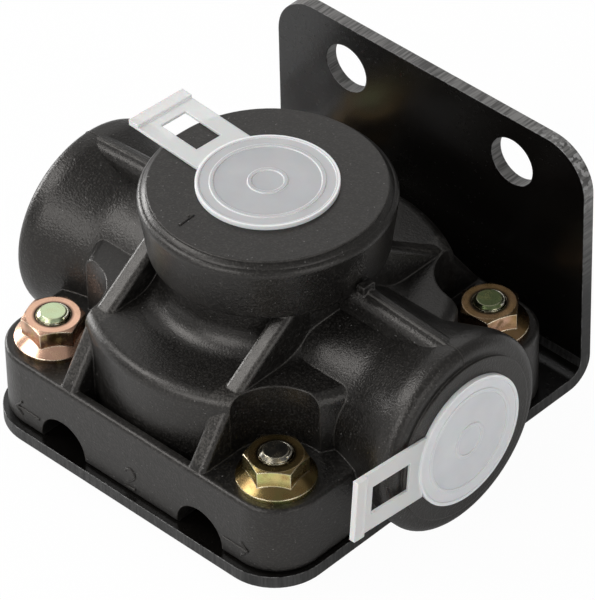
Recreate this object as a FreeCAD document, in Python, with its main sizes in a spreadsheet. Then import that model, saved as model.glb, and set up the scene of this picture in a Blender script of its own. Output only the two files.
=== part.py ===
import FreeCAD, Part
import math
import os
import Sketcher

# Quick release valve on an angle bracket, in millimetres, +Z up.
# X runs along the two delivery ports, Y from the vented front to the bracket's leg.
# The part stands on its four bolt heads, and the origin is under the middle of it.

doc = FreeCAD.newDocument("quick_release_valve")
sheet = doc.addObject("Spreadsheet::Sheet", "Sizes")
parts = []


class Length:
    """A size: its number, and the sheet expression that drives it."""

    def __init__(self, number, text=None):
        self.number = float(number)
        self.text = repr(self.number) if text is None else text

    def join(self, sign, other, number):
        other = as_length(other)
        return Length(number(self.number, other.number), f"({self.text} {sign} {other.text})")

    def __add__(self, other):
        return self.join("+", other, lambda a, b: a + b)

    def __sub__(self, other):
        return self.join("-", other, lambda a, b: a - b)

    def __mul__(self, other):
        return self.join("*", other, lambda a, b: a * b)

    def __truediv__(self, other):
        return self.join("/", other, lambda a, b: a / b)

    def __rsub__(self, other):
        return as_length(other) - self

    def __neg__(self):
        return self * -1.0

    __radd__ = __add__
    __rmul__ = __mul__


def as_length(value):
    return value if isinstance(value, Length) else Length(value)


def size(name, number, meaning):
    """One row of the sheet: what the size is, its number and its alias."""
    row = len(sheet.getUsedCells()) // 2 + 1
    sheet.set(f"A{row}", meaning)
    sheet.set(f"B{row}", str(number))
    sheet.setAlias(f"B{row}", name)
    return Length(number, f"Sizes.{name}")


# Flange, bolts and bracket
bolt_pitch = size("bolt_pitch", 57.7, "spacing of the four flange bolts, both ways")
corner_wall = size("corner_wall", 9.4, "bolt centre to the side of the flange")
flange_height = size("flange_height", 15.2, "height of the flange block up to the nuts")
flange_edge = size("flange_edge", 0.8, "rounding of the flange's top and bottom edges")
sheet_thickness = size("sheet_thickness", 2.6, "thickness of the bracket's steel")
plate_side_margin = size("plate_side_margin", 0.9, "bracket plate beyond the flange at each side")
plate_front_margin = size("plate_front_margin", 1.6, "bracket plate beyond the flange in front")
plate_corner = size("plate_corner", 11.0, "radius of the plate's front corners")
leg_face = size("leg_face", 43.5, "valve axis to the inner face of the leg")
leg_height = size("leg_height", 54.2, "top of the leg above the plate's underside")
leg_corner = size("leg_corner", 9.5, "radius of the leg's top corners")
bend_radius = size("bend_radius", 3.0, "inner radius of the bend")
leg_hole_pitch = size("leg_hole_pitch", 42.4, "spacing of the two holes in the leg")
leg_hole_drop = size("leg_hole_drop", 10.0, "holes of the leg below its top edge")
leg_hole_radius = size("leg_hole_radius", 5.15, "radius of the holes in the leg")
bolt_radius = size("bolt_radius", 3.0, "radius of the bolts' shanks")
bolt_clearance = size("bolt_clearance", 0.3, "clearance of the bolts in flange and plate")
thread_clearance = size("thread_clearance", 0.02, "clearance of the nuts on the bolts")
head_height = size("head_height", 4.0, "height of the bolt heads")
head_flats = size("head_flats", 10.0, "width across flats of heads and nuts")
nut_height = size("nut_height", 5.6, "height of a nut with its flange")
nut_flange_radius = size("nut_flange_radius", 7.15, "radius of a nut's flange")
nut_flange_edge = size("nut_flange_edge", 0.9, "thickness of a nut's flange at its edge")
nut_flange_rise = size("nut_flange_rise", 1.5, "rise of the flange's cone to the hexagon")
hex_chamfer = size("hex_chamfer", 0.15, "chamfer of the hexagons, inside their flats")
bolt_stand = size("bolt_stand", 1.1, "bolt end above the nut")
bolt_chamfer = size("bolt_chamfer", 0.6, "chamfer of the bolt's end")

# Barrel round the supply port
dome_radius = size("dome_radius", 35.5, "radius of the round middle of the housing")
dome_rise = size("dome_rise", 12.9, "top of the middle above the nut seats")
dome_edge = size("dome_edge", 2.5, "rounding of the middle's shoulder")
neck_radius = size("neck_radius", 20.5, "radius of the neck under the supply drum")
neck_rise = size("neck_rise", 9.3, "height of the neck")
neck_fillet = size("neck_fillet", 5.0, "fillet at the foot of the neck")
drum_foot_radius = size("drum_foot_radius", 22.7, "radius of the drum at its lower edge")
drum_rim_radius = size("drum_rim_radius", 24.4, "radius of the drum at its rim")
drum_rise = size("drum_rise", 12.3, "height of the drum up to its rim")
drum_foot_edge = size("drum_foot_edge", 0.9, "rounding of the drum's lower edge")
drum_rim_edge = size("drum_rim_edge", 1.3, "rounding of the drum's rim")
rim_groove_width = size("rim_groove_width", 0.5, "width of the groove inside the rim")
rim_groove_depth = size("rim_groove_depth", 0.7, "depth of the groove inside the rim")
face_radius = size("face_radius", 22.4, "radius of the raised face of the supply port")
face_rise = size("face_rise", 1.1, "raised face above the rim")

# Delivery bosses, one revolved body along X
port_height = size("port_height", 17.8, "delivery axis above the plate")
boss_reach = size("boss_reach", 48.6, "valve axis to the rim of a delivery boss")
boss_rim_radius = size("boss_rim_radius", 20.2, "radius of a delivery boss at its rim")
boss_rim_length = size("boss_rim_length", 4.2, "straight length of the rim")
boss_rim_edge = size("boss_rim_edge", 2.2, "rounding of the rim")
boss_waist_radius = size("boss_waist_radius", 16.4, "radius of a boss beside the barrel")
boss_flare_length = size("boss_flare_length", 11.5, "length of the flare up to the rim")
flare_outer = size("flare_outer", 7.0, "radius of the flare next to the rim")
flare_inner = size("flare_inner", 12.0, "radius of the flare next to the waist")
end_face_radius = size("end_face_radius", 16.8, "radius of the raised end face")
end_face_rise = size("end_face_rise", 0.6, "raised end face beyond the rim")
boss_relief = size("boss_relief", 0.3, "gap from the boss's rim to the bracket plate")

# Web in the mould's parting plane, ribs and pockets
web_thickness = size("web_thickness", 5.0, "thickness of the web between drum and bosses")
web_height = size("web_height", 34.0, "top of the web above the plate")
web_reach = size("web_reach", 45.5, "valve axis to the end of the web")
web_edge = size("web_edge", 1.6, "rounding of the web's top edges")
ridge_thickness = size("ridge_thickness", 1.4, "thickness of the parting ridge on the web")
ridge_rise = size("ridge_rise", 0.7, "parting ridge above the web")
rib_place = size("rib_place", 16.6, "valve axis to the middle of a rib")
rib_thickness = size("rib_thickness", 4.0, "thickness of a rib")
rib_edge = size("rib_edge", 1.2, "rounding of a rib's top edges")
rib_top_reach = size("rib_top_reach", 12.0, "start of a rib's upper slope inside the drum")
rib_top_height = size("rib_top_height", 39.0, "start of a rib's upper slope above the plate")
rib_shoulder_reach = size("rib_shoulder_reach", 28.0, "foot of a rib's upper slope")
rib_sink = size("rib_sink", 0.25, "that foot below the middle's top")
rib_side_reach = size("rib_side_reach", 30.8, "start of a rib's lower slope in the middle's side")
rib_side_height = size("rib_side_height", 25.4, "start of a rib's lower slope above the plate")
rib_set_back = size("rib_set_back", 0.475, "end of a rib inside the flange's side")
front_wall = size("front_wall", 1.9, "wall between the flange's side and its pocket")
pocket_near = size("pocket_near", 18.175, "valve axis to the near side of the pocket")
pocket_depth = size("pocket_depth", 5.8, "depth of the pocket between wall and middle")
scoop_radius = size("scoop_radius", 10.3, "radius of the room cut for a socket at each nut")
vent_place = size("vent_place", 17.8, "valve axis to the middle of an exhaust vent")
vent_radius = size("vent_radius", 5.8, "radius of an exhaust vent")
vent_height = size("vent_height", 0.8, "centre of a vent's arch above the plate")

# Passages and the shuttle inside
port_radius = size("port_radius", 9.2, "radius of a port's bore")
port_depth = size("port_depth", 13.0, "depth of a port's bore")
delivery_radius = size("delivery_radius", 6.0, "radius of the passage to a delivery port")
inlet_radius = size("inlet_radius", 6.8, "radius of the passage from the supply port")
chamber_radius = size("chamber_radius", 22.0, "radius of the diaphragm's chamber")
chamber_top = size("chamber_top", 24.0, "top of the chamber above the plate")
inlet_seat_drop = size("inlet_seat_drop", 3.0, "length of the inlet seat below the chamber's top")
seat_wall = size("seat_wall", 1.6, "wall of the two seats")
recess_radius = size("recess_radius", 29.0, "radius of the recess for the exhaust cover")
recess_height = size("recess_height", 6.9, "height of the recess")
cover_clearance = size("cover_clearance", 0.3, "clearance round the exhaust cover")
cover_skirt = size("cover_skirt", 2.6, "height of the cover's skirt over the plate")
skirt_wall = size("skirt_wall", 2.7, "wall of the cover's skirt")
skirt_notch = size("skirt_notch", 12.0, "width of the skirt's notches at the vents")
spigot_height = size("spigot_height", 3.0, "height of the cover's spigot in the chamber")
seal_radius = size("seal_radius", 0.85, "radius of the seal's section")
seal_groove = size("seal_groove", 1.9, "height of the seal's groove")
exhaust_radius = size("exhaust_radius", 6.5, "radius of the exhaust passage")
spider_width = size("spider_width", 2.0, "width of the spider's bars across the exhaust")
spider_height = size("spider_height", 1.5, "height of the spider's bars")
spring_pin_radius = size("spring_pin_radius", 2.6, "radius of the pin that centres the spring")
spring_pin_height = size("spring_pin_height", 2.0, "height of that pin")
diaphragm_radius = size("diaphragm_radius", 19.6, "radius of the diaphragm")
diaphragm_thickness = size("diaphragm_thickness", 2.4, "thickness of the diaphragm")
guide_radius = size("guide_radius", 4.5, "radius of the diaphragm's guide in the inlet")
guide_height = size("guide_height", 4.0, "height of that guide")
nub_radius = size("nub_radius", 2.2, "radius of the nub that holds the spring seat")
nub_height = size("nub_height", 1.6, "height of that nub")
nub_clearance = size("nub_clearance", 0.05, "clearance of the spring seat on the nub")
travel = size("travel", 1.7, "travel of the diaphragm between its seats")
spring_seat_radius = size("spring_seat_radius", 5.6, "radius of the spring seat")
spring_seat_thickness = size("spring_seat_thickness", 1.0, "thickness of the spring seat")
coil_radius = size("coil_radius", 3.9, "mean radius of the return spring")
wire_radius = size("wire_radius", 0.4, "radius of the spring's wire")
coil_turns = size("coil_turns", 5.0, "turns of the return spring")

# Shipping plugs
plug_disc_radius = size("plug_disc_radius", 13.4, "radius of a plug's disc")
plug_disc_thickness = size("plug_disc_thickness", 1.1, "thickness of a plug's disc")
plug_bead_width = size("plug_bead_width", 0.7, "width of the beads on the disc")
plug_bead_rise = size("plug_bead_rise", 0.25, "height of the beads on the disc")
plug_ring_radius = size("plug_ring_radius", 10.4, "radius of the inner bead")
plug_roundel_radius = size("plug_roundel_radius", 3.4, "radius of the bead round the gate mark")
stub_clearance = size("stub_clearance", 0.2, "clearance of a plug in its port")
stub_wall = size("stub_wall", 1.0, "wall of a plug's stub")
stub_depth = size("stub_depth", 9.0, "depth of a plug's stub")
tab_reach = size("tab_reach", 30.8, "plug's axis to the end of its tab")
tab_width = size("tab_width", 13.4, "width of a tab")
tab_thickness = size("tab_thickness", 0.9, "thickness of a tab")
tab_lift = size("tab_lift", 0.1, "tab above the port's face")
window_near = size("window_near", 16.0, "plug's axis to the near side of the tab's window")
window_wall = size("window_wall", 4.8, "tab beyond its window")
window_width = size("window_width", 6.2, "width of the tab's window")
bar_length = size("bar_length", 2.6, "length of the thick bar at the tab's end")
bar_thickness = size("bar_thickness", 1.9, "thickness of that bar")

# Turns in degrees: tabs about their ports, bolts with their nuts about their own axes
supply_tab_turn = 176.5
left_tab_turn = -84.5
right_tab_turn = -95.5
bolt_turns = (-40.0, -45.0, -21.0, -57.0)

# Levels and places worked out from the sizes
flange_half = bolt_pitch / 2 + corner_wall
plate_half = flange_half + plate_side_margin
plate_front = flange_half + plate_front_margin
plate_bottom = head_height
plate_top = plate_bottom + sheet_thickness
nut_seat = plate_top + flange_height
dome_top = nut_seat + dome_rise
drum_foot = dome_top + neck_rise
drum_rim = drum_foot + drum_rise
supply_face = drum_rim + face_rise
port_axis = plate_top + port_height
delivery_face = boss_reach + end_face_rise
axis_place = (plate_front - leg_face - sheet_thickness) / 2
chamber_roof = plate_top + chamber_top
inlet_seat = chamber_roof - inlet_seat_drop
diaphragm_foot = inlet_seat - diaphragm_thickness
exhaust_seat = diaphragm_foot - travel
recess_top = plate_top + recess_height
cover_floor = plate_top + cover_skirt
cover_radius = recess_radius - cover_clearance
spigot_radius = chamber_radius - cover_clearance
overlap = Length(1.0)


# Drawing helpers
def plane(body, role):
    return next(item for item in body.Origin.OriginFeatures if item.Role == role)


def new_body(name):
    return doc.addObject("PartDesign::Body", name)


def drawing(body, name, role, offset=None):
    """A sketch on one of the body's origin planes, lifted off it by the offset."""
    sketch = body.newObject("Sketcher::SketchObject", name)
    sketch.AttachmentSupport = (plane(body, role), "")
    sketch.MapMode = "FlatFace"
    if offset is not None:
        lift = FreeCAD.Vector(0, 0, offset.number)
        sketch.AttachmentOffset = FreeCAD.Placement(lift, FreeCAD.Rotation())
        sketch.setExpression("AttachmentOffset.Base.z", offset.text)
    return sketch


def hold(sketch, kind, curve, point, value):
    """Holds one coordinate of a point at its size."""
    index = sketch.addConstraint(Sketcher.Constraint(kind, -1, 1, curve, point, value.number))
    sketch.setExpression(f"Constraints[{index}]", value.text)


def outline(sketch, corners):
    """A closed outline of straight sides through the corners."""
    corners = [(as_length(across), as_length(up)) for across, up in corners]
    spots = [FreeCAD.Vector(across.number, up.number, 0) for across, up in corners]
    first = sketch.GeometryCount
    for number, spot in enumerate(spots):
        sketch.addGeometry(Part.LineSegment(spot, spots[(number + 1) % len(spots)]))
    for number, (across, up) in enumerate(corners):
        following = first + (number + 1) % len(corners)
        sketch.addConstraint(Sketcher.Constraint("Coincident", first + number, 2, following, 1))
        hold(sketch, "DistanceX", first + number, 1, across)
        hold(sketch, "DistanceY", first + number, 1, up)
    return sketch


def rectangle(sketch, left, right, low, high):
    return outline(sketch, ((left, low), (right, low), (right, high), (left, high)))


def ring(sketch, across, up, radius):
    """A circle at a place."""
    across, up = as_length(across), as_length(up)
    centre = FreeCAD.Vector(across.number, up.number, 0)
    curve = sketch.addGeometry(Part.Circle(centre, FreeCAD.Vector(0, 0, 1), radius.number))
    hold(sketch, "DistanceX", curve, 3, across)
    hold(sketch, "DistanceY", curve, 3, up)
    index = sketch.addConstraint(Sketcher.Constraint("Radius", curve, radius.number))
    sketch.setExpression(f"Constraints[{index}]", radius.text)
    return sketch


def hexagon(sketch, flats):
    corner = flats / math.sqrt(3.0)
    turns = [math.radians(60.0 * number) for number in range(6)]
    return outline(sketch, [(corner * math.cos(turn), corner * math.sin(turn)) for turn in turns])


def feature(kind, sketch, **settings):
    """A feature on a sketch of its own body; sizes among the settings are bound."""
    body = sketch.getParentGeoFeatureGroup()
    item = body.newObject(f"PartDesign::{kind}", f"{sketch.Name}_{kind}")
    item.Profile = sketch
    for name, value in settings.items():
        if isinstance(value, Length):
            item.setExpression(name, value.text)
        else:
            setattr(item, name, value)
    sketch.Visibility = False
    return item


def turned(kind, sketch, axis):
    return feature(kind, sketch, ReferenceAxis=(sketch, [axis]), Angle=360.0)


def rounded(item, radius, chosen):
    """Rounds the edges of a feature that the test chooses."""
    doc.recompute()
    names = [f"Edge{number}" for number, edge in enumerate(item.Shape.Edges, 1) if chosen(edge)]
    fillet = item.getParentGeoFeatureGroup().newObject("PartDesign::Fillet", f"{item.Name}_edge")
    fillet.Base = (item, names)
    fillet.setExpression("Radius", radius.text)
    return fillet


def circle_at(axis, place, radius):
    """Chooses full circles of a radius at a place along an axis."""
    def chosen(edge):
        if edge.Curve.TypeId != "Part::GeomCircle":
            return False
        centre = getattr(edge.Curve.Center, axis)
        return abs(abs(centre) - place.number) < 0.01 and abs(edge.Curve.Radius - radius.number) < 0.01
    return chosen


def upright_at(across, along):
    """Chooses the upright edges at the four places that the two distances give."""
    def chosen(edge):
        ends = [vertex.Point for vertex in edge.Vertexes]
        if len(ends) != 2 or ends[0].distanceToPoint(FreeCAD.Vector(ends[1].x, ends[1].y, ends[0].z)) > 0.01:
            return False
        return abs(abs(ends[0].x) - across.number) < 0.01 and abs(abs(ends[0].y) - along.number) < 0.01
    return chosen


def placed(item, across=None, along=None, up=None):
    for axis, value in (("x", across), ("y", along), ("z", up)):
        if value is not None:
            item.setExpression(f"Placement.Base.{axis}", as_length(value).text)
    return item


def finish(item, label):
    """Names a finished piece and lists it."""
    item.Label = label
    parts.append(item)
    return item


def cylinder(name, radius, height, across, along, up):
    item = doc.addObject("Part::Cylinder", name)
    item.setExpression("Radius", radius.text)
    item.setExpression("Height", height.text)
    return placed(item, across, along, up)


def box(name, length, width, height, across, along, up):
    item = doc.addObject("Part::Box", name)
    item.setExpression("Length", length.text)
    item.setExpression("Width", width.text)
    item.setExpression("Height", height.text)
    return placed(item, across, along, up)


def fused(name, items):
    item = doc.addObject("Part::MultiFuse", name)
    item.Shapes = items
    return item


corners = [("front_left", -1, -1), ("front_right", 1, -1), ("back_right", 1, 1), ("back_left", -1, 1)]


# Housing: square flange with a pocket behind its front and back walls
def flange_block():
    body = new_body("flange_block")
    square = rectangle(drawing(body, "flange", "XY_Plane", plate_top),
                       -flange_half, flange_half, -flange_half, flange_half)
    block = feature("Pad", square, Length=flange_height)
    block = rounded(block, corner_wall, upright_at(flange_half, flange_half))
    doc.recompute()

    def outer_rim(edge):
        levels = {round(vertex.Z, 2) for vertex in edge.Vertexes}
        return levels in ({round(plate_top.number, 2)}, {round(nut_seat.number, 2)})

    rounded(block, flange_edge, outer_rim)
    inner = flange_half - front_wall
    half = rib_place - rib_thickness / 2
    for name, low, high in (("front", -inner, -pocket_near), ("back", pocket_near, inner)):
        pocket = rectangle(drawing(body, f"{name}_pocket", "XY_Plane", nut_seat), -half, half, low, high)
        feature("Pocket", pocket, Length=pocket_depth)
    return body


# Housing: dome, neck and drum, turned about the valve's axis
def barrel():
    body = new_body("barrel")
    rim_wall = face_radius + rim_groove_width
    profile = outline(drawing(body, "barrel_profile", "XZ_Plane"), (
        (0, plate_top), (dome_radius, plate_top), (dome_radius, dome_top), (neck_radius, dome_top),
        (neck_radius, drum_foot), (drum_foot_radius, drum_foot), (drum_rim_radius, drum_rim),
        (rim_wall, drum_rim), (rim_wall, drum_rim - rim_groove_depth),
        (face_radius, drum_rim - rim_groove_depth), (face_radius, supply_face), (0, supply_face)))
    solid = turned("Revolution", profile, "V_Axis")
    solid = rounded(solid, dome_edge, circle_at("z", dome_top, dome_radius))
    solid = rounded(solid, neck_fillet, circle_at("z", dome_top, neck_radius))
    solid = rounded(solid, drum_foot_edge, circle_at("z", drum_foot, drum_foot_radius))
    rounded(solid, drum_rim_edge, circle_at("z", drum_rim, drum_rim_radius))
    return body


# Housing: both delivery bosses, turned about the delivery axis
def delivery_bosses():
    body = new_body("delivery_bosses")
    flare_end = boss_reach - boss_rim_length
    flare_start = flare_end - boss_flare_length
    half = ((flare_start, boss_waist_radius), (flare_end, boss_rim_radius), (boss_reach, boss_rim_radius),
            (boss_reach, end_face_radius), (delivery_face, end_face_radius), (delivery_face, Length(0)))
    points = [(across, up) for across, up in half] + [(-across, up) for across, up in reversed(half)]
    solid = turned("Revolution", outline(drawing(body, "boss_profile", "XY_Plane"), points), "H_Axis")
    solid = rounded(solid, flare_inner, circle_at("x", flare_start, boss_waist_radius))
    solid = rounded(solid, flare_outer, circle_at("x", flare_end, boss_rim_radius))
    rounded(solid, boss_rim_edge, circle_at("x", boss_reach, boss_rim_radius))
    return placed(body, up=port_axis)


# Housing: web in the parting plane, with its narrow ridge
def parting_web():
    body = new_body("parting_web")
    top = plate_top + web_height
    web = rectangle(drawing(body, "web", "XZ_Plane"), -web_reach, web_reach, port_axis, top)
    solid = feature("Pad", web, Length=web_thickness, SideType="Symmetric")

    rounded(solid, web_edge, lambda edge: edge.BoundBox.XLength > web_reach.number
            and edge.BoundBox.ZMin > top.number - 0.01)
    ridge = rectangle(drawing(body, "ridge", "XZ_Plane"),
                      -web_reach, web_reach, top - overlap, top + ridge_rise)
    feature("Pad", ridge, Length=ridge_thickness, SideType="Symmetric")
    return body


# Housing: a rib at the front and its twin at the back, one plate through the barrel
def rib_pair(name, side):
    body = new_body(name)
    wall_reach = flange_half - rib_set_back
    half = ((rib_top_reach, plate_top + rib_top_height), (rib_shoulder_reach, dome_top - rib_sink),
            (rib_side_reach, plate_top + rib_side_height), (wall_reach, nut_seat),
            (wall_reach, plate_top + recess_height))
    points = [(along, up) for along, up in half] + [(-along, up) for along, up in reversed(half)]
    sketch = outline(drawing(body, f"{name}_profile", "YZ_Plane", rib_place * side), points)
    solid = feature("Pad", sketch, Length=rib_thickness, SideType="Symmetric")

    rounded(solid, rib_edge, lambda edge: edge.BoundBox.XLength < 0.01
            and edge.BoundBox.ZMin > nut_seat.number - 0.01)
    return body


# Housing: chamber, passages, cover recess and vents, as one body to take away
def passages():
    body = new_body("passages")
    below = plate_top - overlap
    seat_radius = inlet_radius + seat_wall
    shaft = outline(drawing(body, "chamber_profile", "XZ_Plane"), (
        (0, below), (recess_radius, below), (recess_radius, recess_top), (chamber_radius, recess_top),
        (chamber_radius, chamber_roof), (seat_radius, chamber_roof), (seat_radius, inlet_seat),
        (inlet_radius, inlet_seat), (inlet_radius, supply_face - port_depth),
        (port_radius, supply_face - port_depth), (port_radius, supply_face + overlap),
        (0, supply_face + overlap)))
    turned("Revolution", shaft, "V_Axis")
    for name, side in (("left", -1), ("right", 1)):
        start = (delivery_face - port_depth) * side
        through = ring(drawing(body, f"{name}_passage", "YZ_Plane", chamber_radius * side / 2),
                       0, port_axis, delivery_radius)
        feature("Pad", through, Length=delivery_face - chamber_radius / 2, Reversed=side < 0)
        bore = ring(drawing(body, f"{name}_port", "YZ_Plane", start), 0, port_axis, port_radius)
        feature("Pad", bore, Length=port_depth + overlap, Reversed=side < 0)
        vent = ring(drawing(body, f"{name}_vent", "XZ_Plane", flange_half + overlap),
                    vent_place * side, plate_top + vent_height, vent_radius)
        feature("Pad", vent, Length=flange_half / 2, Reversed=True)
    return body


def housing():
    web = parting_web()
    rim_key = box("rim_key", rim_groove_width * 2, ridge_thickness, rim_groove_depth,
                  face_radius - rim_groove_width / 2, -ridge_thickness / 2, drum_rim - rim_groove_depth)
    ribs = [rib_pair("left_ribs", -1), rib_pair("right_ribs", 1)]
    solid = fused("moulding", [barrel(), delivery_bosses(), flange_block(), *ribs, web, rim_key])
    tools = [passages()]
    height = supply_face - nut_seat
    for name, side, depth in corners:
        across = bolt_pitch / 2 * side
        along = bolt_pitch / 2 * depth
        tools.append(cylinder(f"{name}_scoop", scoop_radius, height, across, along, nut_seat))
        tools.append(cylinder(f"{name}_hole", bolt_radius + bolt_clearance, flange_height + overlap,
                              across, along, plate_top - overlap / 2))
    reach = plate_half + boss_relief
    tools.append(box("plate_room", reach * 2, boss_rim_radius * 2, port_height,
                     -reach, -boss_rim_radius, plate_top - port_height))
    cut = doc.addObject("Part::Cut", "housing")
    cut.Base = solid
    cut.Tool = fused("housing_cuts", tools)
    finish(placed(cut, along=axis_place), "housing")


# Bracket: plate under the valve and the leg behind it, bent from one sheet
def bracket():
    body = new_body("bracket")
    back = leg_face + sheet_thickness
    angle = outline(drawing(body, "angle_profile", "YZ_Plane"), (
        (-plate_front, plate_bottom), (back, plate_bottom), (back, plate_bottom + leg_height),
        (leg_face, plate_bottom + leg_height), (leg_face, plate_top), (-plate_front, plate_top)))
    solid = feature("Pad", angle, Length=plate_half * 2, SideType="Symmetric")

    def bend_at(along, up):
        def chosen(edge):
            middle = edge.BoundBox.Center
            return edge.BoundBox.XLength > plate_half.number and \
                abs(middle.y - along.number) < 0.01 and abs(middle.z - up.number) < 0.01
        return chosen

    solid = rounded(solid, bend_radius, bend_at(leg_face, plate_top))
    solid = rounded(solid, bend_radius + sheet_thickness, bend_at(back, plate_bottom))
    solid = rounded(solid, plate_corner, lambda edge: edge.BoundBox.ZLength < sheet_thickness.number + 0.01
                    and edge.BoundBox.XLength < 0.01 and edge.BoundBox.YMax < -plate_front.number + 0.01)
    top = plate_bottom + leg_height
    rounded(solid, leg_corner, lambda edge: edge.BoundBox.ZMin > top.number - 0.01
            and edge.BoundBox.XLength < 0.01)
    leg_holes = drawing(body, "leg_holes", "XZ_Plane", -back - overlap)
    bolt_holes = drawing(body, "bolt_holes", "XY_Plane", plate_top + overlap)
    for side in (-1, 1):
        ring(leg_holes, leg_hole_pitch / 2 * side, top - leg_hole_drop, leg_hole_radius)
    for _, side, depth in corners:
        ring(bolt_holes, bolt_pitch / 2 * side, bolt_pitch / 2 * depth, bolt_radius + bolt_clearance)
    feature("Pocket", leg_holes, Length=sheet_thickness + overlap * 2, Reversed=True)
    feature("Pocket", bolt_holes, Length=sheet_thickness + overlap * 2)
    finish(placed(body, along=axis_place), "mounting_bracket")


def hex_chamfer_cut(body, name, end, inward):
    """Turns the corners off one end of a hexagon."""
    inner = head_flats / 2 - hex_chamfer
    outer = head_flats / math.sqrt(3.0) + overlap
    slant = (outer - inner) / 2
    sketch = outline(drawing(body, name, "XZ_Plane"), (
        (inner, end), (outer, end + slant * inward), (outer, end - overlap * inward),
        (inner, end - overlap * inward)))
    turned("Groove", sketch, "V_Axis")


def at_corner(body, label, side, depth, turn):
    body.Placement = FreeCAD.Placement(FreeCAD.Vector(), FreeCAD.Rotation(FreeCAD.Vector(0, 0, 1), turn))
    across = bolt_pitch / 2 * side
    along = bolt_pitch / 2 * depth + axis_place
    finish(placed(body, across, along), label)


# Bolt: hexagon head under the plate, shank up through plate, flange and nut
def bolt(label, side, depth, turn):
    body = new_body(label)
    head = hexagon(drawing(body, f"{label}_head", "XY_Plane"), head_flats)
    feature("Pad", head, Length=head_height)
    hex_chamfer_cut(body, f"{label}_head_corners", Length(0), 1)
    length = nut_seat + nut_height + bolt_stand - head_height / 2
    shank = ring(drawing(body, f"{label}_shank", "XY_Plane", head_height / 2), 0, 0, bolt_radius)
    solid = feature("Pad", shank, Length=length)
    doc.recompute()
    tip = nut_seat + nut_height + bolt_stand
    names = [f"Edge{number}" for number, edge in enumerate(solid.Shape.Edges, 1)
             if edge.BoundBox.ZMin > tip.number - 0.01]
    chamfer = body.newObject("PartDesign::Chamfer", f"{label}_tip")
    chamfer.Base = (solid, names)
    chamfer.setExpression("Size", bolt_chamfer.text)
    at_corner(body, label, side, depth, turn)


# Nut: hexagon on a round cone-backed flange, seated on the flange's corner
def nut(label, side, depth, turn):
    body = new_body(label)
    bore = bolt_radius + thread_clearance
    top = nut_seat + nut_height
    cone_foot = nut_seat + nut_flange_edge
    profile = outline(drawing(body, f"{label}_flange", "XZ_Plane"), (
        (bore, nut_seat), (nut_flange_radius, nut_seat), (nut_flange_radius, cone_foot),
        (head_flats / 2, cone_foot + nut_flange_rise), (bore, cone_foot + nut_flange_rise)))
    turned("Revolution", profile, "V_Axis")
    shape = hexagon(drawing(body, f"{label}_hexagon", "XY_Plane", nut_seat), head_flats)
    feature("Pad", shape, Length=nut_height)
    hex_chamfer_cut(body, f"{label}_corners", top, -1)
    hole = ring(drawing(body, f"{label}_bore", "XY_Plane", top + overlap), 0, 0, bore)
    feature("Pocket", hole, Length=nut_height + overlap * 2)
    at_corner(body, label, side, depth, turn)


# Exhaust cover: skirt on the plate, disc in the recess, spigot and exhaust seat in the chamber
def exhaust_cover():
    body = new_body("cover")
    groove_foot = recess_top + (spigot_height - seal_groove) / 2
    groove_radius = chamber_radius - seal_radius * 2
    profile = outline(drawing(body, "cover_profile", "XZ_Plane"), (
        (exhaust_radius, cover_floor), (cover_radius - skirt_wall, cover_floor),
        (cover_radius - skirt_wall, plate_top), (cover_radius, plate_top), (cover_radius, recess_top),
        (spigot_radius, recess_top), (spigot_radius, groove_foot), (groove_radius, groove_foot),
        (groove_radius, groove_foot + seal_groove), (spigot_radius, groove_foot + seal_groove),
        (spigot_radius, recess_top + spigot_height), (exhaust_radius + seat_wall, recess_top + spigot_height),
        (exhaust_radius + seat_wall, exhaust_seat), (exhaust_radius, exhaust_seat)))
    turned("Revolution", profile, "V_Axis")
    reach = exhaust_radius + seat_wall / 2
    for name, half_x, half_y in (("across", reach, spider_width / 2), ("along", spider_width / 2, reach)):
        bar = rectangle(drawing(body, f"spider_{name}", "XY_Plane", cover_floor),
                        -half_x, half_x, -half_y, half_y)
        feature("Pad", bar, Length=spider_height)
    pin = ring(drawing(body, "spring_pin", "XY_Plane", cover_floor), 0, 0, spring_pin_radius)
    feature("Pad", pin, Length=spider_height + spring_pin_height)
    for name, side in (("left", -1), ("right", 1)):
        middle = vent_place * side
        notch = rectangle(drawing(body, f"{name}_skirt_notch", "XY_Plane", cover_floor),
                          middle - skirt_notch / 2, middle + skirt_notch / 2,
                          -recess_radius, -chamber_radius / 2)
        feature("Pocket", notch, Length=cover_skirt + overlap)
    finish(placed(body, along=axis_place), "exhaust_cover")


def cover_seal():
    seal = doc.addObject("Part::Torus", "seal")
    seal.setExpression("Radius1", (chamber_radius - seal_radius).text)
    seal.setExpression("Radius2", (seal_radius - thread_clearance).text)
    middle = recess_top + spigot_height / 2
    finish(placed(seal, along=axis_place, up=middle), "cover_seal")


# Shuttle: rubber diaphragm with its guide, and the seat of the return spring
def diaphragm():
    body = new_body("rubber")
    profile = outline(drawing(body, "diaphragm_profile", "XZ_Plane"), (
        (0, diaphragm_foot - nub_height), (nub_radius, diaphragm_foot - nub_height),
        (nub_radius, diaphragm_foot), (diaphragm_radius, diaphragm_foot), (diaphragm_radius, inlet_seat),
        (guide_radius, inlet_seat), (guide_radius, inlet_seat + guide_height), (0, inlet_seat + guide_height)))
    turned("Revolution", profile, "V_Axis")
    finish(placed(body, along=axis_place), "diaphragm")


def spring_seat():
    body = new_body("washer")
    bore = nub_radius + nub_clearance
    sketch = drawing(body, "washer_outline", "XY_Plane", diaphragm_foot - spring_seat_thickness)
    ring(sketch, 0, 0, spring_seat_radius)
    ring(sketch, 0, 0, bore)
    feature("Pad", sketch, Length=spring_seat_thickness)
    finish(placed(body, along=axis_place), "spring_seat")


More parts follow.
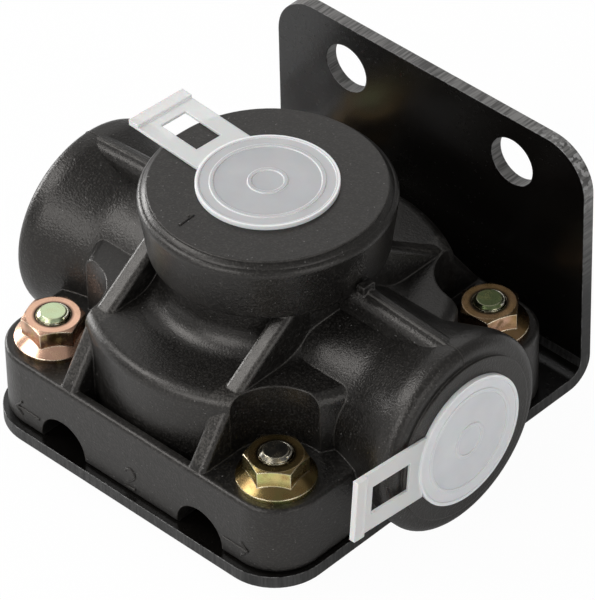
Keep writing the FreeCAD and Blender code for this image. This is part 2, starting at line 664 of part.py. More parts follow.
# Return spring: a round wire wound between the spider and the spring seat
def return_spring():
    body = new_body("coil")
    foot = cover_floor + spider_height
    space = diaphragm_foot - spring_seat_thickness - foot
    sketch = ring(drawing(body, "wire_section", "XZ_Plane"), coil_radius, foot + wire_radius, wire_radius)
    rise = space - wire_radius * 2 - thread_clearance
    helix = body.newObject("PartDesign::AdditiveHelix", "winding")
    helix.Profile = sketch
    helix.ReferenceAxis = (sketch, ["V_Axis"])
    helix.Mode = "pitch-turns-angle"
    helix.setExpression("Pitch", (rise / coil_turns).text)
    helix.setExpression("Turns", coil_turns.text)
    finish(placed(body, along=axis_place), "return_spring")


# Shipping plug: hollow stub, beaded disc and a pull tab with a window
def plug(label):
    body = new_body(label)
    top = plug_disc_thickness
    bead_top = top + plug_bead_rise
    stub = port_radius - stub_clearance
    bore = stub - stub_wall
    points = [(bore, -stub_depth), (stub, -stub_depth), (stub, 0), (plug_disc_radius, 0),
              (plug_disc_radius, bead_top)]
    inner = plug_disc_radius - plug_bead_width
    points.append((inner, bead_top))
    points.append((inner, top))
    for middle in (plug_ring_radius, plug_roundel_radius):
        for radius, level in ((middle + plug_bead_width / 2, top), (middle + plug_bead_width / 2, bead_top),
                              (middle - plug_bead_width / 2, bead_top), (middle - plug_bead_width / 2, top)):
            points.append((radius, level))
    points += [(0, top), (0, 0), (bore, 0)]
    turned("Revolution", outline(drawing(body, f"{label}_profile", "XZ_Plane"), points), "V_Axis")
    near = plug_disc_radius - plug_bead_width * 2
    tab = drawing(body, f"{label}_tab", "XY_Plane", tab_lift)
    rectangle(tab, near, tab_reach, -tab_width / 2, tab_width / 2)
    rectangle(tab, window_near, tab_reach - window_wall, -window_width / 2, window_width / 2)
    feature("Pad", tab, Length=tab_thickness)
    bar = rectangle(drawing(body, f"{label}_bar", "XY_Plane", tab_lift),
                    tab_reach - bar_length, tab_reach, -tab_width / 2, tab_width / 2)
    feature("Pad", bar, Length=bar_thickness)
    return body


def plugs():
    """Places a plug in each port, its own Z along the port and its tab turned as it hangs."""
    out = FreeCAD.Vector(0, 0, 1)
    supply = plug("supply_plug")
    supply.Placement.Rotation = FreeCAD.Rotation(out, supply_tab_turn)
    finish(placed(supply, along=axis_place, up=supply_face), "supply_plug")
    for label, side, turn in (("left", -1, left_tab_turn), ("right", 1, right_tab_turn)):
        delivery = plug(f"delivery_plug_{label}")
        tilt = FreeCAD.Rotation(FreeCAD.Vector(0, 1, 0), 90.0 * side)
        delivery.Placement.Rotation = tilt.multiply(FreeCAD.Rotation(out, turn))
        finish(placed(delivery, delivery_face * side, axis_place, port_axis), f"delivery_plug_{label}")


housing()
exhaust_cover()
cover_seal()
diaphragm()
spring_seat()
return_spring()
bracket()
for (name, side, depth), turn in zip(corners, bolt_turns):
    bolt(f"bolt_{name}", side, depth, turn)
    nut(f"nut_{name}", side, depth, turn)
plugs()

doc.recompute()
for item in doc.Objects:
    if "Invalid" in item.State or "Error" in item.State:
        raise RuntimeError(f"{item.Name} failed: {item.State}")
for item in parts:
    if item.Shape.isNull() or not item.Shape.isValid() or not item.Shape.Solids:
        raise RuntimeError(f"{item.Label} has no valid shape")

os.makedirs("parts", exist_ok=True)
for item in parts:
    item.Shape.exportStep(os.path.join("parts", f"{item.Label}.step"))
    extent = item.Shape.BoundBox
    print(f"{item.Label}: {len(item.Shape.Solids)} solid, {item.Shape.Volume:.0f} mm3, "
          f"x {extent.XMin:.1f} {extent.XMax:.1f}  y {extent.YMin:.1f} {extent.YMax:.1f}  "
          f"z {extent.ZMin:.1f} {extent.ZMax:.1f}")
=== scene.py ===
import math
import bmesh
import bpy
from mathutils import Matrix, Vector


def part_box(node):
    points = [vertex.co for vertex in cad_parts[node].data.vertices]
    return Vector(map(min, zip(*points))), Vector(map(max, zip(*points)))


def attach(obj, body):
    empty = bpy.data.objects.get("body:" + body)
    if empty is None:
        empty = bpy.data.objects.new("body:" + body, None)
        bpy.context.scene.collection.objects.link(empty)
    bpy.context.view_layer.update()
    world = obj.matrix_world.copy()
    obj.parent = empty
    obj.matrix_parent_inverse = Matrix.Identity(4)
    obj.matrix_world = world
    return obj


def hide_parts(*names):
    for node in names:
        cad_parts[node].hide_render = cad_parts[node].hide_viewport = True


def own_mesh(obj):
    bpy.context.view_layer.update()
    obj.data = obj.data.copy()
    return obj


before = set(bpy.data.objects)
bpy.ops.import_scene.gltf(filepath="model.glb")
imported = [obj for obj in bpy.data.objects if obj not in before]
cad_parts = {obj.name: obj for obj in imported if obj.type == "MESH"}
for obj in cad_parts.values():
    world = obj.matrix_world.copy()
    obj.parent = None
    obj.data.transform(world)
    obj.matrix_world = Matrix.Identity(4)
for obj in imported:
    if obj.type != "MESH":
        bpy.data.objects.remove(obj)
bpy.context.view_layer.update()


# Camera
# The valve is seen from its front right corner and from above, through a long lens,
# and the camera leans by about one and a half degrees.
mm = 0.001
photo_height = 600
view_azimuth, view_elevation, view_lean = (math.radians(turn) for turn in (44.504, 40.198, -1.408))
view_distance = 1005.7 * mm
housing_low, housing_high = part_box("housing")
axis_y = (housing_low.y + housing_high.y) / 2
view_target = Vector((4.91 * mm, axis_y + 2.06 * mm, 31.0 * mm))
focal_pixels = 5399.1
back = Vector((math.sin(view_azimuth) * math.cos(view_elevation),
               -math.cos(view_azimuth) * math.cos(view_elevation), math.sin(view_elevation)))
level_right = Vector((math.cos(view_azimuth), math.sin(view_azimuth), 0))
level_up = back.cross(level_right)
right = math.cos(view_lean) * level_right + math.sin(view_lean) * level_up
up = back.cross(right)
lens = bpy.data.cameras.new("camera")
lens.sensor_width = 36
lens.lens = focal_pixels * lens.sensor_width / photo_height
lens.clip_start, lens.clip_end = 0.1, 20
camera = bpy.data.objects.new("camera", lens)
turn = Matrix((right, up, back)).transposed().to_4x4()
camera.matrix_world = Matrix.Translation(view_target + back * view_distance) @ turn
bpy.context.scene.collection.objects.link(camera)
bpy.context.scene.camera = camera


# Housing
# One moulding of black glass-filled nylon. Its skin is satin, with a fine spark-eroded
# grain, pale glass flecks, rubbed edges, and painted highlights on the rib tops and gate patch.
class Signal:
    """A socket of a tree, on which arithmetic adds its own Math nodes."""

    def __init__(self, recipe, socket):
        self.recipe = recipe
        self.socket = socket

    def math(self, operation, *values, clamp=False):
        return self.recipe.node("ShaderNodeMath", dict(operation=operation, use_clamp=clamp), *values)

    def other(self, key):
        """Another output of the same node."""
        return Signal(self.recipe, self.socket.node.outputs[key])

    def __add__(self, other):
        return self.math("ADD", self, other)

    def __sub__(self, other):
        return self.math("SUBTRACT", self, other)

    def __rsub__(self, other):
        return self.math("SUBTRACT", other, self)

    def __mul__(self, other):
        return self.math("MULTIPLY", self, other)

    def __truediv__(self, other):
        return self.math("DIVIDE", self, other)

    def __gt__(self, other):
        return self.math("GREATER_THAN", self, other)

    def __lt__(self, other):
        return self.math("LESS_THAN", self, other)

    __radd__ = __add__
    __rmul__ = __mul__

    def ramp(self, low, high):
        """Goes from 0 at low to 1 at high."""
        return self.math("MULTIPLY", self - low, 1 / (high - low), clamp=True)


class Recipe:
    """A tree of nodes, with one method that adds a node of any kind."""

    def __init__(self, tree):
        self.tree = tree

    def node(self, kind, settings=None, *values, output=0, **named):
        """Adds a node, sets it up, and fills its sockets in order or by name."""
        made = self.tree.nodes.new(kind)
        for name, value in (settings or {}).items():
            setattr(made, name, value)
        for key, value in list(enumerate(values)) + list(named.items()):
            if value is not None:
                self.fill(made.inputs[key if isinstance(key, int) else key.replace("_", " ")], value)
        return Signal(self, made.outputs[output])

    def fill(self, socket, value):
        if isinstance(value, Signal):
            self.tree.links.new(value.socket, socket)
        else:
            socket.default_value = value


class Finish(Recipe):
    """A material in the making."""

    def __init__(self, name):
        self.material = bpy.data.materials.new(name)
        self.material.use_nodes = True
        super().__init__(self.material.node_tree)
        self.shader = self.tree.nodes["Principled BSDF"]
        self.place = self.node("ShaderNodeTexCoord", output="Object")

    def noise(self, size, detail=2.0, offset=0.0, stretch=(1, 1, 1)):
        """Noise about 0.5 with features of a size in metres."""
        where = self.node("ShaderNodeMapping", None, self.place, (offset, 0, 0), Scale=stretch)
        return self.node("ShaderNodeTexNoise", None, Vector=where, Scale=1 / size, Detail=detail)

    def from_point(self, point):
        """The distance from a point in metres."""
        return self.node("ShaderNodeVectorMath", dict(operation="DISTANCE"), self.place, tuple(point),
                         output="Value")

    def axes(self, vector):
        """The three coordinates of a vector."""
        across = self.node("ShaderNodeSeparateXYZ", None, vector)
        return across, across.other(1), across.other(2)

    def mix(self, share, colour_a, colour_b):
        made = self.node("ShaderNodeMix", dict(data_type="RGBA"), output=2)
        inputs = made.socket.node.inputs
        for socket, value in ((inputs[0], share), (inputs[6], colour_a), (inputs[7], colour_b)):
            self.fill(socket, value)
        return made

    def edges(self, radius):
        """The normal with rounded edges, and how much it turns there."""
        soft = self.node("ShaderNodeBevel", dict(samples=6), Radius=radius)
        true = self.node("ShaderNodeNewGeometry", output="Normal")
        along = self.node("ShaderNodeVectorMath", dict(operation="DOT_PRODUCT"), soft, true, output="Value")
        return soft, 1 - along

    def bump(self, height, depth, normal=None):
        return self.node("ShaderNodeBump", None, Height=height, Distance=depth, Strength=1.0, Normal=normal)

    def surface(self, **sockets):
        for name, value in sockets.items():
            self.fill(self.shader.inputs[name.replace("_", " ")], value)
        return self.material


def paint(material, *names):
    """Gives a finish to nodes of the frame."""
    for name in names:
        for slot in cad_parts[name].material_slots:
            slot.material = material


port_axis = Vector((0, axis_y, 24.4 * mm))
gate_patch = Vector((23.4 * mm, axis_y - 1.5 * mm, 50.2 * mm))


rib_inner, rib_outer = 14.6 * mm, 18.6 * mm


def black_nylon(name, edge_radius):
    finish = Finish(name)
    across, _, level = finish.axes(finish.place)
    beside = across.math("ABSOLUTE", across)
    cloud = finish.noise(14 * mm, 3)
    grain = finish.noise(0.4 * mm, 1)
    skin = finish.noise(1.5 * mm, 3)
    fleck = finish.noise(0.55 * mm, 1, offset=0.31).ramp(0.735, 0.78)
    # The gate patch is rougher, and its colour is painted lighter over its grain, painted glints.
    patch = finish.from_point(gate_patch).ramp(3.4 * mm, 1.6 * mm)
    on_boss = beside.ramp(22 * mm, 34 * mm) * (1 - 0.6 * skin.ramp(0.35, 0.6))
    soft, turn = finish.edges(edge_radius)
    rising = finish.axes(finish.node("ShaderNodeNewGeometry", output="Normal"))[2]
    rib_band = (beside.ramp(rib_inner - 0.3 * mm, rib_inner + 0.2 * mm)
                * beside.ramp(rib_outer + 0.3 * mm, rib_outer - 0.2 * mm))
    rib_height = level.ramp(22.6 * mm, 23.4 * mm) * level.ramp(43 * mm, 41 * mm)
    # Painted highlight: faces of the ribs that look up are painted lighter over their grain.
    rib_top_highlight = rib_band * rib_height * rising.ramp(0.25, 0.6)
    rub = turn.ramp(0.01, 0.2) * skin.ramp(0.3, 0.55)
    black = finish.mix(cloud.ramp(0.3, 0.7), (0.0034, 0.0031, 0.0028, 1), (0.0062, 0.0056, 0.0050, 1))
    dust = grain.ramp(0.48, 0.72) * 0.3
    # Rubbed edges and pale grain are wear; the rib tops and the gate patch add painted highlights.
    wear_and_highlights = rub * 0.8 + dust + rib_top_highlight * grain.ramp(0.3, 0.6) * 0.55 + patch * grain * 0.4
    worn_and_highlit = finish.mix(wear_and_highlights, black, (0.06, 0.056, 0.051, 1))
    colour = finish.mix(fleck * 0.6, worn_and_highlit, (0.18, 0.175, 0.17, 1))
    roughness = 0.36 + 0.10 * (grain - 0.5) + 0.12 * (cloud - 0.5) + 0.1 * (skin - 0.5)
    rise = grain * (0.6 + 0.9 * on_boss + 1.5 * patch) + 0.5 * skin
    return finish.surface(Base_Color=colour, Roughness=roughness, Specular_Tint=(1, 0.96, 0.92, 1),
                          Normal=finish.bump(rise, 0.07 * mm, soft))


housing_nylon = black_nylon("satin_black_nylon", 0.5 * mm)
paint(housing_nylon, "housing")


# Webs of the housing
# A thick web with rounded edges stands between the drum and each boss, highest at the
# drum, with a thin parting ridge on top. The gate was cut off on the right one.
def bar(shape, thickness, edge, stations):
    """Adds a bar along X with rounded top edges, its stations given as (x, foot, top)."""
    quarter = [math.radians(15 * step) for step in range(7)]
    loops = []
    for x, foot, top in stations:
        rim = [(thickness / 2 - edge + edge * math.cos(turn), top - edge + edge * math.sin(turn))
               for turn in quarter]
        side = [(thickness / 2, foot)] + rim
        around = side + [(-y, z) for y, z in reversed(side)]
        loops.append([shape.verts.new((x * mm, axis_y + y * mm, z * mm)) for y, z in around])
    for here, there in zip(loops, loops[1:]):
        for number in range(len(here)):
            shape.faces.new((here[number - 1], here[number], there[number], there[number - 1]))
    shape.faces.new(loops[0])
    shape.faces.new(reversed(loops[-1]))


def shaped_piece(name, shape, material, sharp=None):
    """Makes a shape a smooth piece of the valve, with its edges kept sharp from an angle."""
    mesh = bpy.data.meshes.new(name)
    shape.to_mesh(mesh)
    shape.free()
    if "custom_normal" in mesh.attributes:
        mesh.attributes.remove(mesh.attributes["custom_normal"])
    mesh.materials.clear()
    mesh.materials.append(material)
    mesh.shade_smooth()
    if sharp:
        mesh.set_sharp_from_angle(angle=math.radians(sharp))
    made = bpy.data.objects.new(name, mesh)
    bpy.context.scene.collection.objects.link(made)
    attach(made, "valve")
    return made


web_thickness, web_edge, web_foot = 5.2, 2.1, 38.0
web_start, web_flat, web_end = 19.0, 20.0, 46.2
web_high, web_low = 46.2, 44.4
ridge_thickness, ridge_edge, ridge_rise = 1.0, 0.25, 0.4
ridge_run_out, ridge_sink = 2.2, 0.2
run_out_rise = 0.15
gate_start, gate_end, gate_rise, gate_depth = 23.6, 25.4, 1.3, 1.0
gate_width, gate_edge = 3.0, 0.5
web_shape = bmesh.new()
for side in (-1, 1):
    for thickness, edge, rise, sink in ((web_thickness, web_edge, 0, 0),
                                        (ridge_thickness, ridge_edge, ridge_rise, ridge_sink)):
        bar(web_shape, thickness, edge, [
            (side * web_start, web_foot, web_high + rise),
            (side * web_flat, web_foot, web_high + rise),
            (side * (web_end - ridge_run_out), web_foot, web_low + run_out_rise + rise),
            (side * web_end, web_foot, web_low - sink)])
bar(web_shape, gate_width, gate_edge, [(x, web_high - gate_depth, web_high + gate_rise)
                                       for x in (gate_start, gate_end)])
bmesh.ops.recalc_face_normals(web_shape, faces=web_shape.faces)
shaped_piece("webs", web_shape, housing_nylon, sharp=35)


# Foot of the supply port's face
# The raised face runs into the rim of the drum with a small fillet, which leaves a fine line.
face_radius, face_rise = 22.4, 1.1
fillet_width, fillet_rise, fillet_hollow = 0.95, 0.75, 0.3
fillet_root, skin_gap = 0.5, 0.02
rounds = 120
rim_z = housing_high.z / mm - face_rise
inner, outer = face_radius - fillet_hollow, face_radius + fillet_width
profile = [(inner, rim_z - fillet_root), (inner, rim_z + fillet_rise),
           (face_radius + skin_gap, rim_z + fillet_rise),
           (face_radius + fillet_hollow * fillet_width, rim_z + fillet_hollow * fillet_rise),
           (outer, rim_z + skin_gap), (outer, rim_z - fillet_root)]
fillet_shape = bmesh.new()
loops = [[fillet_shape.verts.new((radius * math.cos(angle) * mm,
                                  axis_y + radius * math.sin(angle) * mm, z * mm))
          for radius, z in profile] for angle in (math.tau * step / rounds for step in range(rounds))]
for step in range(rounds):
    here, there = loops[step - 1], loops[step]
    for number in range(len(profile)):
        fillet_shape.faces.new((here[number - 1], here[number], there[number], there[number - 1]))
bmesh.ops.recalc_face_normals(fillet_shape, faces=fillet_shape.faces)
shaped_piece("face_fillet", fillet_shape, housing_nylon)


# Raised marks of the housing
# Arrows and plain numbers, cut into the mould as narrow grooves, so they stand up from the
# skin as round beads. Fine parting lines run over the rims of the two bosses.
class Growth(Recipe):
    """A Geometry Nodes tree with named sizes, which ends in plain faces of one material."""

    def __init__(self, name, **sizes):
        super().__init__(bpy.data.node_groups.new(name, "GeometryNodeTree"))
        face = self.tree.interface
        face.new_socket("Geometry", in_out="INPUT", socket_type="NodeSocketGeometry")
        face.new_socket("Geometry", in_out="OUTPUT", socket_type="NodeSocketGeometry")
        self.sizes = {}
        for label, value in sizes.items():
            socket = face.new_socket(label, in_out="INPUT", socket_type="NodeSocketFloat")
            self.sizes[socket.identifier] = value
        given = self.tree.nodes.new("NodeGroupInput")
        self.given = {socket.name: Signal(self, socket) for socket in given.outputs}

    def bead(self, path, radius, sides=10):
        """A round bead along a path."""
        section = self.node("GeometryNodeCurvePrimitiveCircle", None, Resolution=sides, Radius=radius)
        return self.node("GeometryNodeCurveToMesh", None, path, section, Fill_Caps=True)

    def finish(self, shape, material):
        real = self.node("GeometryNodeRealizeInstances", None, shape)
        clad = self.node("GeometryNodeSetMaterial", None, real, Material=material)
        self.tree.links.new(clad.socket, self.tree.nodes.new("NodeGroupOutput").inputs[0])
        return self

    def piece(self, name, points, edges, body, slot):
        """Runs the tree on points and edges, and keeps the result as a piece of a body."""
        start = bpy.data.meshes.new(f"{name}_start")
        start.from_pydata(points, edges, [])
        seed = bpy.data.objects.new(f"{name}_start", start)
        bpy.context.scene.collection.objects.link(seed)
        modifier = seed.modifiers.new("growth", "NODES")
        modifier.node_group = self.tree
        for identifier, value in self.sizes.items():
            modifier[identifier] = value
        graph = bpy.context.evaluated_depsgraph_get()
        mesh = bpy.data.meshes.new_from_object(seed.evaluated_get(graph))
        bpy.data.objects.remove(seed)
        made = bpy.data.objects.new(name, mesh)
        bpy.context.scene.collection.objects.link(made)
        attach(made, body)
        return made


def one(height):
    return [[(-0.2 * height, 0.3 * height), (0, height / 2), (0, -height / 2)]]


def two(height):
    bowl = 0.28 * height
    turns = [math.radians(165 - 25 * step) for step in range(9)]
    hook = [(bowl * math.cos(turn), height / 2 - bowl + bowl * math.sin(turn)) for turn in turns]
    return [hook + [(-bowl, -height / 2), (bowl, -height / 2)]]


def arrow(length, head):
    return [[(0, 0), (length, 0)], [(length - head, head), (length, 0), (length - head, -head)]]


def rim_line(side):
    """Over a boss's rim, from the end of the web to the raised end face."""
    flat, edge, rim_x, rim_z, foot_z = 4.2, 2.2, 48.6, 44.6, 41.4
    turns = [math.radians(90 - 15 * step) for step in range(7)]
    bend = [(rim_x - edge + edge * math.cos(turn), rim_z - edge + edge * math.sin(turn)) for turn in turns]
    return [[(side * across, up) for across, up in [(rim_x - flat, rim_z)] + bend + [(rim_x, foot_z)]]]


def strokes(marks):
    """The points and edges of marks, each with its place, its two directions and its strokes."""
    points, edges = [], []
    for place, across, up, lines in marks:
        for line in lines:
            first = len(points)
            points += [place + (across * x + up * y) * mm for x, y in line]
            edges += [(number, number + 1) for number in range(first, len(points) - 1)]
    return points, edges


right_way, deep_way, up_way = Vector((1, 0, 0)), Vector((0, 1, 0)), Vector((0, 0, 1))
front_y, supply_z = housing_low.y, housing_high.z
marks = strokes([
    (Vector((-24 * mm, front_y, 10.4 * mm)), -right_way, up_way, arrow(6.2, 1.6)),
    (Vector((24 * mm, front_y, 10.4 * mm)), right_way, up_way, arrow(6.2, 1.6)),
    (Vector((0, front_y, 10.2 * mm)), right_way, up_way, two(4.4)),
    (Vector((-3.6 * mm, axis_y - 17.6 * mm, supply_z)), right_way, deep_way, one(3.6))])
rims = strokes([(Vector((0, axis_y, 0)), right_way, up_way, rim_line(side)) for side in (-1, 1)])
mark_bead = Growth("mark_bead", radius=0.28 * mm)
path = mark_bead.node("GeometryNodeMeshToCurve", None, mark_bead.given["Geometry"])
mark_bead.finish(mark_bead.bead(path, mark_bead.given["radius"]), housing_nylon)
mark_bead.piece("raised_marks", *marks, "valve", "housing_nylon")
line_bead = Growth("line_bead", radius=0.13 * mm)
path = line_bead.node("GeometryNodeMeshToCurve", None, line_bead.given["Geometry"])
line_bead.finish(line_bead.bead(path, line_bead.given["radius"], 8), housing_nylon)
line_bead.piece("parting_lines", *rims, "valve", "housing_nylon")


# Inside of the valve
# The cover, seal, diaphragm, washer and spring sit in the housing's recess and chamber.
# The cover is nylon as the housing, the seals are black rubber, and the rest is steel.
def black_rubber(name):
    finish = Finish(name)
    bloom = finish.noise(5 * mm, 3)
    grain = finish.noise(0.3 * mm, 2)
    colour = finish.mix(bloom.ramp(0.4, 0.7), (0.010, 0.010, 0.010, 1), (0.022, 0.021, 0.020, 1))
    return finish.surface(Base_Color=colour, Roughness=0.62 + 0.15 * (bloom - 0.5),
                          Normal=finish.bump(grain, 0.02 * mm))


def drawn_steel(name, colour_a, colour_b):
    finish = Finish(name)
    stain = finish.noise(2.5 * mm, 3)
    lines = finish.noise(0.12 * mm, 1)
    return finish.surface(Base_Color=finish.mix(stain, colour_a, colour_b), Metallic=1.0,
                          Roughness=0.28 + 0.15 * (stain - 0.5) + 0.1 * (lines - 0.5),
                          Normal=finish.bump(lines, 0.006 * mm))


def fitted_copy(name, place, way, angle, stretch):
    """Stands for a piece of the frame, turned and stretched about a place."""
    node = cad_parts[name]
    shape = bmesh.new()
    shape.from_mesh(node.data)
    bmesh.ops.remove_doubles(shape, verts=shape.verts, dist=0.001 * mm)
    fit = Matrix.Rotation(angle, 4, way) @ Matrix.Diagonal((*stretch, 1))
    shape.transform(Matrix.Translation(place) @ fit @ Matrix.Translation(-place))
    made = shaped_piece(f"{name}_fitted", shape, node.material_slots[0].material, sharp=22)
    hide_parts(name)
    return made


paint(black_nylon("cover_nylon", 0.2 * mm), "exhaust_cover")
paint(black_rubber("seal_rubber"), "cover_seal")
paint(black_rubber("diaphragm_rubber"), "diaphragm")
paint(drawn_steel("turned_steel", (0.60, 0.60, 0.58, 1), (0.46, 0.46, 0.45, 1)), "spring_seat")
paint(drawn_steel("spring_wire", (0.48, 0.48, 0.47, 1), (0.34, 0.34, 0.33, 1)), "return_spring")
spring_low, spring_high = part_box("return_spring")
spring_foot = Vector((0, axis_y, spring_low.z))
spring = fitted_copy("return_spring", spring_foot, up_way, 0.0, stretch=(1, 1, 1))
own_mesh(spring)


# Mounting bracket
# Bent from 2.6 mm steel sheet and painted satin black. The sheared edges show the marks
# of the cutter through the thin paint, and are rubbed pale along their outer corner.
bracket_low, bracket_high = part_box("mounting_bracket")


def bracket_paint(name):
    finish = Finish(name)
    cloud = finish.noise(22 * mm, 3)
    skin = finish.noise(0.9 * mm, 2)
    chips = finish.noise(1.1 * mm, 3, offset=0.17)
    strokes_up = finish.noise(0.45 * mm, 1, stretch=(1, 0.07, 1))
    strokes_down = finish.noise(0.5 * mm, 1, stretch=(1, 1, 0.07))
    soft, turn = finish.edges(0.3 * mm)
    across, deep, level = finish.axes(finish.place)
    facing = finish.axes(finish.node("ShaderNodeNewGeometry", output="Normal"))
    side_on = [axis.math("ABSOLUTE", axis) < 0.5 for axis in facing]
    on_leg = level > bracket_low.z + 6 * mm
    leg_cut = on_leg * side_on[1]
    plate_cut = (1 - on_leg) * side_on[2]
    corner = across.ramp(24 * mm, 34 * mm) * level.ramp(bracket_high.z - 14 * mm, bracket_high.z - 4 * mm)
    rub = turn.ramp(0.02, 0.25) * chips.ramp(0.38, 0.6)
    chip = leg_cut * corner * chips.ramp(0.5, 0.56)
    black = finish.mix(cloud.ramp(0.3, 0.7), (0.0018, 0.0015, 0.0012, 1), (0.0036, 0.0031, 0.0026, 1))
    pale = finish.mix(strokes_up.ramp(0.35, 0.65), (0.05, 0.048, 0.046, 1), (0.17, 0.166, 0.16, 1))
    dull = finish.mix(strokes_up.ramp(0.35, 0.65), (0.004, 0.0038, 0.0035, 1),
                      (0.014, 0.0135, 0.013, 1))
    leg_edge = finish.mix(level.ramp(bracket_high.z - 34 * mm, bracket_high.z - 10 * mm), dull, pale)
    cut_dark, cut_pale = (0.004, 0.0038, 0.0035, 1), (0.032, 0.031, 0.030, 1)
    plate_edge = finish.mix(strokes_down.ramp(0.35, 0.7), cut_dark, cut_pale)
    sided = finish.mix(plate_cut, finish.mix(leg_cut, black, leg_edge), plate_edge)
    colour = finish.mix(rub * 0.7 + chip * 0.8, sided, (0.36, 0.355, 0.35, 1))
    cut = leg_cut + plate_cut
    roughness = 0.25 + 0.12 * (skin - 0.5) + 0.25 * cut + 0.1 * (cloud - 0.5)
    rise = skin + leg_cut * strokes_up * 3 + plate_cut * strokes_down * 3
    return finish.surface(Base_Color=colour, Roughness=roughness,
                          Normal=finish.bump(rise, 0.014 * mm, soft))


paint(bracket_paint("bracket_black"), "mounting_bracket")


# Bolts and flange nuts
# M6 steel, zinc plated and yellow chromated, so each takes its own cast of gold, copper
# or green. Four bolts come up through the flange, and a flange nut holds each.
def chromate(name, tints, shift, shaded_bore=None):
    finish = Finish(name)
    bloom = finish.noise(4.5 * mm, 2, offset=shift)
    veil = finish.noise(1.7 * mm, 3, offset=shift + 0.2)
    scratches = finish.noise(0.2 * mm, 2)
    soft, turn = finish.edges(0.3 * mm)
    colour = finish.mix(bloom.ramp(0.36, 0.64), tints[0], tints[1])
    colour = finish.mix(veil.ramp(0.48, 0.68) * 0.7, colour, tints[2])
    # Faces that look up take the fourth tint; on three nuts it is a darker brown, painted shade on their
    # tops.
    facing = finish.axes(finish.node("ShaderNodeNewGeometry", output="Normal"))[2]
    colour = finish.mix(facing.ramp(0.35, 0.8) * 0.85, colour, tints[3])
    # Painted shade: the nut is painted dark brown within 3.5 mm of the centre of its top, in its bore.
    if shaded_bore:
        colour = finish.mix(finish.from_point(shaded_bore).ramp(4.1 * mm, 3.5 * mm), colour, (0.02, 0.014, 0.008, 1))
    # Painted highlight: every edge is painted a pale gold.
    colour = finish.mix(turn.ramp(0.008, 0.1) * 0.85, colour, (0.98, 0.90, 0.70, 1))
    roughness = 0.22 + 0.22 * (veil - 0.4) + 0.12 * (scratches - 0.5)
    return finish.surface(Base_Color=colour, Metallic=1.0, Roughness=roughness,
                          Normal=finish.bump(scratches + veil, 0.008 * mm, soft))


gold, copper, leaf = (0.74, 0.56, 0.24, 1), (0.82, 0.50, 0.36, 1), (0.52, 0.56, 0.20, 1)
pale_green, dark_green, grey = (0.56, 0.66, 0.42, 1), (0.11, 0.14, 0.06, 1), (0.16, 0.155, 0.14, 1)
bronze, brown = (0.42, 0.26, 0.10, 1), (0.16, 0.10, 0.04, 1)
# Each set is two bloom tints, a veil tint and a top tint; the darker brown top tints are painted shade.
casts = {"front_left": ((copper, brown, gold, copper), (pale_green, (0.46, 0.58, 0.36, 1), gold, pale_green)),
         "front_right": ((leaf, gold, bronze, brown), (grey, (0.09, 0.09, 0.085, 1), gold, grey)),
         "back_right": ((copper, bronze, brown, brown),
                        (dark_green, (0.20, 0.25, 0.12, 1), gold, dark_green)),
         "back_left": ((bronze, brown, gold, brown), (dark_green, grey, gold, dark_green))}
for number, (corner, (nut_tints, bolt_tints)) in enumerate(casts.items()):
    low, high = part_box(f"nut_{corner}")
    shaded_bore = Vector(((low.x + high.x) / 2, (low.y + high.y) / 2, high.z))
    paint(chromate(f"chromate_nut_{corner}", nut_tints, 0.13 * number, shaded_bore), f"nut_{corner}")
    paint(chromate(f"chromate_bolt_{corner}", bolt_tints, 0.29 * number), f"bolt_{corner}")

nut_stretch = (1.06, 1.06, 1.03)
for corner, turn in (("front_left", 31), ("front_right", 24), ("back_right", 30), ("back_left", 54)):
    low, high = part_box(f"nut_{corner}")
    seat = Vector(((low.x + high.x) / 2, (low.y + high.y) / 2, low.z))
    fitted_copy(f"nut_{corner}", seat, up_way, math.radians(turn), nut_stretch)

zinc, dull_zinc = (0.86, 0.84, 0.74, 1), (0.70, 0.66, 0.50, 1)
bright_zinc = chromate("bright_thread", (zinc, dull_zinc, gold, zinc), 0.7)
thread = Growth("thread", radius=0.24 * mm, spread=2.82 * mm, rise=0.75 * mm, turns=1.0)
spread = thread.given["spread"]
helix = thread.node("GeometryNodeCurveSpiral", None, Resolution=40, Rotations=thread.given["turns"],
                    Start_Radius=spread, End_Radius=spread, Height=thread.given["rise"])
crest = thread.bead(helix, thread.given["radius"], 8)
crests = thread.node("GeometryNodeInstanceOnPoints", None, thread.given["Geometry"], Instance=crest)
thread.finish(crests, bright_zinc)
ends = []
for corner in casts:
    low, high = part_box(f"bolt_{corner}")
    ends.append(Vector(((low.x + high.x) / 2, (low.y + high.y) / 2, high.z - 1.1 * mm)))
thread.piece("bolt_threads", ends, [], "valve", "chromate_zinc")


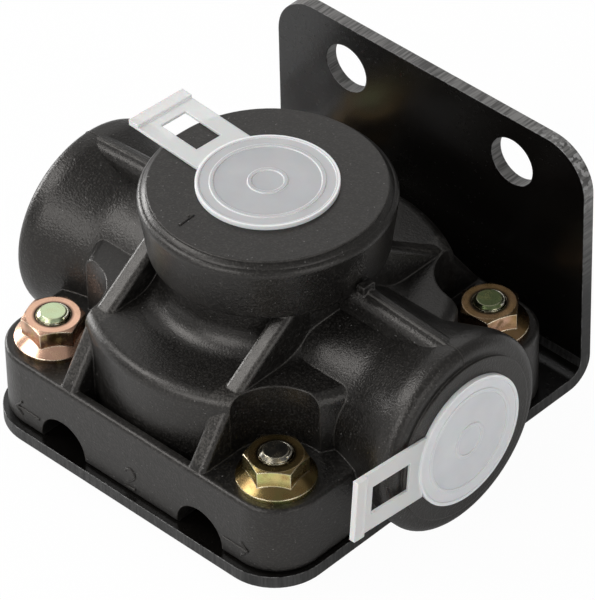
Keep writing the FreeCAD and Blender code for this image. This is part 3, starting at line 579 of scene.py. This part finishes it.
# Shipping plugs
# Moulded in soft natural polythene, milky and a little clear, with painted highlights on its thin rims and
# painted shade on its discs.
# Each is pushed into its port, and its tab is pulled to take it out.
def polythene(name, centre, milk, edge_highlight):
    finish = Finish(name)
    away = finish.from_point(centre)
    cloud = finish.noise(7 * mm, 3)
    flow = finish.noise(2.2 * mm, 3)
    soft, turn = finish.edges(0.3 * mm)
    # The disc is painted darker than the tab, painted shade of the dark port under the clear plastic.
    disc = finish.mix(cloud.ramp(0.35, 0.65) * 0.4 + 0.6 * away.ramp(10.0 * mm, 10.6 * mm),
                      (milk, milk * 1.01, milk * 1.04, 1), (milk * 1.2, milk * 1.2, milk * 1.22, 1))
    on_tab = away.ramp(13.4 * mm, 13.9 * mm)
    tab = finish.mix(away.ramp(13.25 * mm, 13.39 * mm), disc, (0.84, 0.84, 0.83, 1))
    # Painted highlight: a white line near the rim, and white on every edge.
    line = away.ramp(12.95 * mm, 13.05 * mm) * away.ramp(13.6 * mm, 13.45 * mm)
    white = (edge_highlight, edge_highlight, edge_highlight, 1)
    colour = finish.mix(line.math("MAXIMUM", line, turn.ramp(0.002, 0.05)), tab, white)
    return finish.surface(Base_Color=colour, Roughness=0.34 + 0.2 * (flow - 0.5), Alpha=0.9 - 0.2 * on_tab,
                          Subsurface_Weight=0.2, Subsurface_Scale=1.2 * mm,
                          Normal=finish.bump(flow, 0.03 * mm, soft))


plug_share = 0.65
left_tab_turn = math.radians(-189.5)
supply_centre = Vector((0, axis_y, housing_high.z))
# The supply plug's disc is painted darker than the side plugs', painted shade against the stronger light on
# its top.
paint(polythene("milky_polythene_supply", supply_centre, 0.50, 1.0), "supply_plug")
for side, name in ((-1, "left"), (1, "right")):
    centre = Vector((side * housing_high.x, axis_y, port_axis.z))
    paint(polythene(f"milky_polythene_{name}", centre, 0.74, 1.0), f"delivery_plug_{name}")
    angle = left_tab_turn if name == "left" else 0.0
    fitted_copy(f"delivery_plug_{name}", centre, right_way, angle, (plug_share, 1, 1))
fitted_copy("supply_plug", supply_centre, up_way, 0.0, (1, 1, plug_share))


# Floor and light
# A white table that fades into a white surround, soft light from all round, and large
# soft lamps at the front, the right, the left and the back left.
def white_surround(name, share):
    finish = Finish(name)
    seen = finish.node("ShaderNodeLightPath", output="Is Camera Ray")
    bright = seen.math("MAXIMUM", seen, seen.other("Is Transmission Ray"))
    glow = finish.node("ShaderNodeEmission", None, (1, 1, 1, 1), 1.0)
    finish.surface(Base_Color=(0.88, 0.88, 0.88, 1), Roughness=0.9, Specular_IOR_Level=0.0)
    plain = Signal(finish, finish.shader.outputs[0])
    shown = finish.node("ShaderNodeMixShader", None, bright * share, plain, glow)
    finish.fill(finish.tree.nodes["Material Output"].inputs["Surface"], shown)
    return finish.material


floor_mesh = bpy.data.meshes.new("floor")
half = 2.0
corners = [(-half, -half, 0), (half, -half, 0), (half, half, 0), (-half, half, 0)]
floor_mesh.from_pydata(corners, [], [(0, 1, 2, 3)])
floor = bpy.data.objects.new("floor", floor_mesh)
floor.data.materials.append(white_surround("white_table", 0.97))
bpy.context.scene.collection.objects.link(floor)


def soft_lamp(name, place, size, power):
    """A square lamp aimed at the valve."""
    data = bpy.data.lights.new(name, "AREA")
    data.size = size
    data.energy = power
    lamp = bpy.data.objects.new(name, data)
    aim = Vector((0, 0, 0.03)) - Vector(place)
    lamp.matrix_world = Matrix.Translation(place) @ aim.to_track_quat("-Z", "Y").to_matrix().to_4x4()
    bpy.context.scene.collection.objects.link(lamp)


soft_lamp("lamp_front", (0.0, -1.2, 0.68), 0.7, 6.5)
soft_lamp("lamp_right", (1.2, -0.25, 0.5), 0.8, 3.5)
soft_lamp("lamp_over_left", (-0.75, -0.6, 1.05), 0.6, 7.5)
soft_lamp("lamp_low_left", (-1.1, -0.1, 0.12), 0.5, 9.0)
soft_lamp("lamp_back_left", (-0.9, 0.92, 1.08), 1.2, 3.2)

world = bpy.data.worlds.new("surround")
world.use_nodes = True
bpy.context.scene.world = world
sky = world.node_tree.nodes["Background"]
sky.inputs["Color"].default_value = (1, 1, 1, 1)
rays = world.node_tree.nodes.new("ShaderNodeLightPath")
level = world.node_tree.nodes.new("ShaderNodeMix")
fill_light, seen_white = 0.36, 1.0
level.inputs[2].default_value, level.inputs[3].default_value = fill_light, seen_white
world.node_tree.links.new(rays.outputs["Is Camera Ray"], level.inputs[0])
world.node_tree.links.new(level.outputs[0], sky.inputs["Strength"])
bpy.context.scene.view_settings.view_transform = "Standard"
